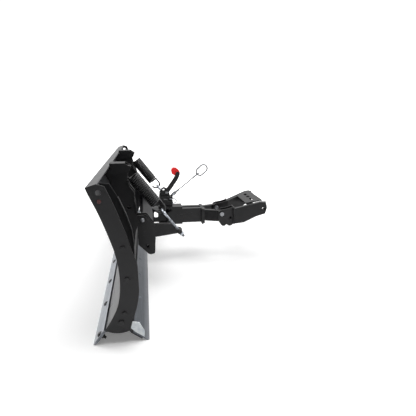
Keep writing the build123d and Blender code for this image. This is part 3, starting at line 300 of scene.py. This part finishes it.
def wire_steel(name):
    """Dull cloudy steel of the lift cable."""
    m = Mat(name)
    rounded = m.rounded(radius=0.0006)
    cloud = m.noise(scale=90.0, detail=5.0, rough=0.65)
    color = m.mottle(cloud, dark=(0.22, 0.225, 0.235), light=(0.46, 0.47, 0.49), end=0.72)
    normal = m.bump(m.noise(scale=900.0), strength=0.15, distance=0.0002, normal=rounded)
    return m.finish(color, m.ramp(cloud, low=0.28, high=0.45), metal=0.45, normal=normal)


def weld_metal(name):
    """Black-coated weld bead."""
    m = Mat(name)
    cloud = m.noise(scale=200.0, detail=4.0, rough=0.6)
    color = m.mottle(cloud, dark=(0.024, 0.024, 0.025), light=(0.05, 0.05, 0.052))
    normal = m.bump(m.noise(scale=1200.0, detail=2.0), strength=0.2, distance=0.0003)
    return m.finish(color, m.ramp(cloud, low=0.3, high=0.46), metal=0.0, normal=normal)


BOLT_BLACK = dict(base=(0.016, 0.016, 0.017), worn=0.12, rough=0.36, radius=0.0008)

blade_mat = powder_coat("blade_coat", base=(0.021, 0.021, 0.0225), worn=0.09, rough=0.42,
                        spec=0.35)
skin_mat = powder_coat("skin_coat", base=(0.028, 0.0285, 0.031), worn=0.10, rough=0.30,
                       spec=0.62)
rib_mat = powder_coat("rib_coat", base=(0.019, 0.019, 0.0205), worn=0.10, rough=0.40,
                      spec=0.35)
frame_mat = powder_coat("frame_coat", base=(0.018, 0.018, 0.0195), worn=0.11, rough=0.37)
edge_mat = wear_steel("edge_steel", light=(0.24, 0.255, 0.28), dark=(0.13, 0.14, 0.155))
drag_mat = wear_steel("drag_steel", light=(0.185, 0.20, 0.225), dark=(0.095, 0.105, 0.12))
zinc_mat = zinc("zinc_plate")
bracket_mat = zinc("bracket_zinc", tint=(0.86, 0.93, 1.0), rough=0.34, metal=0.2)
bolt_mat = zinc("bolt_zinc", tint=(0.38, 0.39, 0.41), rough=0.34)
dark_bolt_mat = powder_coat("dark_fastener", **BOLT_BLACK)
# The edge bolts are left plain where they hold the rear wear bar.
edge_bolt_mat = powder_coat("edge_fastener", **BOLT_BLACK, bare_from=0.105)
rod_mat = thread_zinc("rod_zinc")
# The red grip gets a painted glow (emission) that brightens it, though it is no lamp.
red_mat = plastic("red_plastic", base=(0.88, 0.010, 0.010), glow=0.30)
reflector_mat = plastic("reflector_red", base=(0.10, 0.02, 0.02), rough=0.22)
coil_mat = spring_coat("spring_coat")
cable_mat = wire_steel("cable_steel")
weld_mat = weld_metal("weld_coat")

# Which CAD pieces each material goes on.
PAINT = {
    skin_mat: ["moldboard"],
    blade_mat: ["end_plate_right", "end_plate_left", "end_ribs", "base_rail"],
    rib_mat: ["main_rib_right", "main_rib_left", "spring_brackets", "intermediate_ribs"],
    frame_mat: ["mount_rails", "mount_ears", "mount_cross_plate", "head_plates",
                "push_channels", "joint_plate", "push_leg_right", "push_leg_left",
                "latch_tower", "cross_tube", "pivot_plates", "pivot_sleeves",
                "spring_arm_right", "spring_arm_left", "kingpin_sleeve", "swivel_tongue",
                "sector_plate", "lock_lever"],
    edge_mat: ["cutting_edge"],
    drag_mat: ["backdrag_edge"],
    bracket_mat: ["backdrag_brackets"],
    zinc_mat: ["kingpin", "thrust_washers", "hairpin_clip", "lock_pin", "lift_pin",
               "lock_spring", "adjuster_nut_right", "adjuster_nut_left"],
    bolt_mat: ["pivot_bolts", "lift_bolts", "lever_bolt"],
    edge_bolt_mat: ["edge_bolts", "edge_nuts"],
    dark_bolt_mat: ["spring_pins", "end_plate_bolts", "end_plate_nuts", "pivot_nuts",
                    "joint_bolts", "joint_nuts", "trunnion_right", "trunnion_left"],
    rod_mat: ["eyebolt_right", "eyebolt_left"],
    red_mat: ["lever_grip"],
    reflector_mat: ["reflectors"],
    cable_mat: ["lift_cable", "lift_ring"],
}
for material, names in PAINT.items():
    for name in names:
        slots = nodes[name].data.materials
        slots.clear()
        slots.append(material)


# --------------------------------------------------------------- mesh helpers
def add_object(name, data):
    obj = bpy.data.objects.new(name, data)
    scene.collection.objects.link(obj)
    return obj


def add_tube(name, points, radius_at, segments, material):
    """Capped round tube along Vectors; radius_at gives the radius at a point's index."""
    count = len(points)
    verts, faces = [], []
    start = (points[1] - points[0]).normalized()
    up = Vector((0, 0, 1)) if abs(start.z) < 0.9 else Vector((1, 0, 0))
    side = start.cross(up).normalized()
    for i in range(count):
        tangent = (points[min(i + 1, count - 1)] - points[max(i - 1, 0)]).normalized()
        # Carrying the side vector along keeps the rings from twisting.
        side = (side - tangent * side.dot(tangent)).normalized()
        other = tangent.cross(side)
        radius = radius_at(i)
        for k in range(segments):
            angle = 2 * math.pi * k / segments
            verts.append(points[i] + side * (radius * math.cos(angle))
                         + other * (radius * math.sin(angle)))
    for i in range(count - 1):
        for k in range(segments):
            a = i * segments + k
            b = i * segments + (k + 1) % segments
            faces.append((a, b, b + segments, a + segments))
    faces.append(tuple(range(segments))[::-1])
    faces.append(tuple(range((count - 1) * segments, count * segments)))

    mesh = bpy.data.meshes.new(name)
    mesh.from_pydata([tuple(v) for v in verts], [], faces)
    mesh.update()
    for face in mesh.polygons:
        face.use_smooth = True
    mesh.materials.append(material)
    return add_object(name, mesh)


def hermite(start, start_pull, end, end_pull, steps):
    """Points of a cubic from start to end with the given end tangents."""
    points = []
    for i in range(steps + 1):
        s = i / steps
        points.append(start * (2 * s**3 - 3 * s**2 + 1) + start_pull * (s**3 - 2 * s**2 + s)
                      + end * (-2 * s**3 + 3 * s**2) + end_pull * (s**3 - s**2))
    return points


# -------------------------------------------------------------------- springs
# In mm, in the spring's frame: z down the axis, x to the rear, y across.
WIRE_RADIUS = 4.8
COIL_RADIUS = 26.5
COIL_PITCH = 9.85
COIL_TURNS = 17.36
COIL_START_ANGLE = math.radians(205)
COIL_START = 0.8
COIL_END = COIL_START + COIL_PITCH * COIL_TURNS
STEPS_PER_TURN = 30
HOOK_RADIUS = 24.5
TOP_HOOK_Z = -33
LOW_HOOK_Z = COIL_END + WIRE_RADIUS + 27.0
LEAD = 14           # axial length of the bend from coil to hook shank
LEAD_PULL = 17      # tangent length of that bend
LEAD_STEPS = 9
PIN_Z = -44.6       # blade-side pin
WIRE_END_TAPER = 0.82


def coil_angle(turned):
    return COIL_START_ANGLE + 2 * math.pi * turned


def coil_point(turned):
    angle = coil_angle(turned)
    return Vector((COIL_RADIUS * math.cos(angle), COIL_RADIUS * math.sin(angle),
                   COIL_START + COIL_PITCH * turned))


def coil_pull(turned):
    angle = coil_angle(turned)
    tangent = Vector((-COIL_RADIUS * math.sin(angle), COIL_RADIUS * math.cos(angle),
                      COIL_PITCH / (2 * math.pi)))
    return tangent.normalized() * LEAD_PULL


def hook(centre_z, start, sweep, steps):
    """Arc in the x-z plane, angles in degrees from +x towards +z."""
    angles = [math.radians(start + sweep * i / steps) for i in range(steps + 1)]
    return [Vector((HOOK_RADIUS * math.cos(a), 0, centre_z + HOOK_RADIUS * math.sin(a)))
            for a in angles]


def spring_points():
    """Wire centre line from the top hook to the low hook."""
    shank_pull = Vector((0, 0, LEAD_PULL))
    points = hook(TOP_HOOK_Z, start=-22, sweep=-158, steps=26)
    points += [Vector((-HOOK_RADIUS, 0, z)) for z in (-27, -20, -14)]
    points += hermite(Vector((-HOOK_RADIUS, 0, COIL_START - LEAD)), shank_pull,
                      coil_point(0), coil_pull(0), LEAD_STEPS)
    steps = int(COIL_TURNS * STEPS_PER_TURN)
    points += [coil_point(COIL_TURNS * i / steps) for i in range(1, steps)]
    points += hermite(coil_point(COIL_TURNS), coil_pull(COIL_TURNS),
                      Vector((HOOK_RADIUS, 0, COIL_END + LEAD)), shank_pull, LEAD_STEPS)
    points += [Vector((HOOK_RADIUS, 0, COIL_END + z)) for z in (19, 26)]
    points += hook(LOW_HOOK_Z, start=0, sweep=192, steps=32)
    return [p * MM for p in points]


def build_spring(side, tag):
    """Spring standing on its low hook and stretching to the pin on the blade."""
    name = f"coil_spring_{tag}"
    rear = Vector((0, -SPRING_AXIS[1], SPRING_AXIS[0]))
    down = Vector((0, *SPRING_AXIS))
    across = Vector((side, 0, 0))
    top = Vector((side * SPRING_X, *SPRING_TOP))
    base = top + down * ((LOW_HOOK_Z + HOOK_RADIUS) * MM)
    pin = top + down * (PIN_Z * MM)

    # The object's Y axis runs from the base to the pin.
    x_axis = Vector((1, 0, 0))
    y_axis = (pin - base).normalized()
    turn = Matrix((x_axis, y_axis, x_axis.cross(y_axis))).transposed().to_4x4()
    home = Matrix.Translation(base) @ turn
    to_local = home.inverted()
    points = [to_local @ (top + rear * p.x + across * p.y + down * p.z)
              for p in spring_points()]
    ends = (0, len(points) - 1)

    def wire_radius(i):
        return WIRE_RADIUS * MM * (WIRE_END_TAPER if i in ends else 1.0)

    spring = add_tube(name, points, wire_radius, segments=14, material=coil_mat)
    spring.matrix_world = home
    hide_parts(f"spring_{tag}")
    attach(spring, f"tensioner_{tag}")

    target = add_object(name + "_aim", None)
    target.matrix_world = Matrix.Translation(pin)
    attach(target, "blade")
    stretch = spring.constraints.new("STRETCH_TO")
    stretch.target = target
    stretch.rest_length = (pin - base).length
    stretch.volume = "NO_VOLUME"
    stretch.keep_axis = "PLANE_X"


SIDES = ((1, "right"), (-1, "left"))
for side, tag in SIDES:
    build_spring(side, tag)


# ----------------------------------------------------------------- weld beads
BEAD_STEP = 1.1  # mm between rings

# Name, body it rides on, radius, corner points on the +X side, all in mm.
WELDS = [
    ("arm_top", "swivel_frame", 2.2, [(327.4, 248, 288.6), (327.4, 320, 288.6)]),
    ("arm_low", "swivel_frame", 2.2, [(327.4, 260, 237.4), (327.4, 342, 237.4)]),
    ("tube_in", "swivel_frame", 2.6, [(292, 240.4, 287), (328, 240.4, 287)]),
    ("tube_rear", "swivel_frame", 2.4, [(327.4, 240.6, 240), (327.4, 240.6, 290)]),
    ("tongue", "swivel_frame", 2.4, [(20.4, 240.6, 238), (20.4, 240.6, 286)]),
    ("channel_top", "push_frame", 1.8, [(43, 350, 299.2), (43, 408, 299.2)]),
    ("joint", "push_frame", 2.4, [(45.4, 523.6, 222), (45.4, 523.6, 297)]),
    ("leg", "push_frame", 2.4,
     [(28.6, 540.4, 232), (28.6, 540.4, 291.4), (60.4, 540.4, 291.4)]),
]


def build_bead(name, corners, radius, body, seed):
    """Scalloped fillet weld along a polyline in mm."""
    points = []
    for start, end in zip(corners, corners[1:]):
        steps = max(2, int((end - start).length / BEAD_STEP))
        points += [start.lerp(end, i / steps) for i in range(steps)]
    points.append(corners[-1])
    last = len(points) - 1

    def bead_radius(i):
        taper = min(1.0, 0.35 + min(i, last - i) / 4)
        scallop = 0.86 + 0.16 * abs(math.sin(i * 0.78))
        wobble = noise.noise(Vector((i * 0.31, seed * 7.3, 0.5))) * 0.14
        return radius * MM * taper * (scallop + wobble)

    bead = add_tube(name, [p * MM for p in points], bead_radius, segments=8,
                    material=weld_mat)
    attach(bead, body)


for side, tag in SIDES:
    for row, (name, body, radius, path) in enumerate(WELDS, start=1):
        corners = [Vector((side * x, y, z)) for x, y, z in path]
        build_bead(f"weld_{name}_{tag}", corners, radius, body, seed=side + 2 * row)


# ---------------------------------------------------------------------- floor
def floor_material():
    """Near-white floor that brightens with distance, for the camera only."""
    m = Mat("floor_mat")
    cloud = m.noise(scale=3.0, detail=2.0)
    m.finish(m.mottle(cloud, dark=(0.93, 0.93, 0.93), light=(0.95, 0.95, 0.95)),
             rough=0.7, metal=0.0, normal=m.bump(cloud, strength=0.01, distance=0.001),
             spec=0.2)
    camera_ray = m.add("ShaderNodeLightPath").outputs["Is Camera Ray"]
    position = m.add("ShaderNodeNewGeometry").outputs["Position"]
    distance = m.add("ShaderNodeVectorMath", {0: position}, operation="LENGTH")
    glow = m.ramp(distance.outputs["Value"], start=1.2, end=2.8, low=0.20, high=1.1)
    m.put(m.bsdf.inputs["Emission Color"], (1, 1, 1, 1))
    m.put(m.bsdf.inputs["Emission Strength"], m.times(camera_ray, by=glow))
    return m.material


bpy.ops.mesh.primitive_plane_add(size=60.0, location=(0, 0, -0.0006))
floor = bpy.context.object
floor.name = "floor"
floor.data.materials.append(floor_material())


# ------------------------------------------------------------ world and lights
def build_world():
    """White to the camera; as light, dim from +X and brighter from -X."""
    world = bpy.data.worlds.new("studio")
    scene.world = world
    world.use_nodes = True
    tree = Nodes(world.node_tree)
    background = world.node_tree.nodes["Background"].inputs
    camera_ray = tree.add("ShaderNodeLightPath").outputs["Is Camera Ray"]
    direction = tree.add("ShaderNodeTexCoord").outputs["Generated"]
    room = tree.ramp(tree.separate(direction)["X"], start=0.35, end=-0.65,
                     low=0.065, high=0.72, interpolation_type="SMOOTHSTEP")
    pick = tree.add("ShaderNodeMix", {"Factor": camera_ray, "A": room, "B": 1.1})
    tree.put(background["Strength"], pick.outputs["Result"])
    tree.put(background["Color"], (1, 1, 1, 1))


def place_facing(obj, place, direction):
    obj.location = place
    obj.rotation_mode = "QUATERNION"
    obj.rotation_quaternion = Vector(direction).to_track_quat("-Z", "Y")


def area(name, place, target, size, power):
    light = bpy.data.lights.new(name, "AREA")
    light.shape = "RECTANGLE"
    light.size, light.size_y = size
    light.energy = power
    place_facing(add_object(name, light), place, Vector(target) - Vector(place))


build_world()
area("key_top", place=(0.2, 0.6, 4.2), target=(0, 0.2, 0.2), size=(3.4, 3.4), power=130)
area("rim_left", place=(-1.6, -2.8, 1.1), target=(0, 0.1, 0.2), size=(2.0, 1.8), power=95)
area("rear_strip", place=(0.0, 3.2, 2.4), target=(0, 0.3, 0.3), size=(3.0, 0.9), power=40)
area("side_low", place=(3.2, -1.2, 1.3), target=(0.6, 0.1, 0.3), size=(1.2, 2.0), power=3)

# --------------------------------------------------------------------- camera
lens = bpy.data.cameras.new("camera")
lens.lens = 33.81
lens.sensor_width = 36.0
lens.clip_start = 0.05
lens.clip_end = 100
camera = add_object("camera", lens)
scene.camera = camera
place_facing(camera, place=(2.2536, 0.2105, 0.8248),
             direction=(-0.96116, 0.15326, -0.22954))

scene.view_settings.view_transform = "Standard"
scene.view_settings.look = "None"

# CAD pieces shade smooth where they are round and sharp at real edges.
for part in nodes.values():
    part.data.shade_smooth()
    part.data.set_sharp_from_angle(angle=math.radians(28))
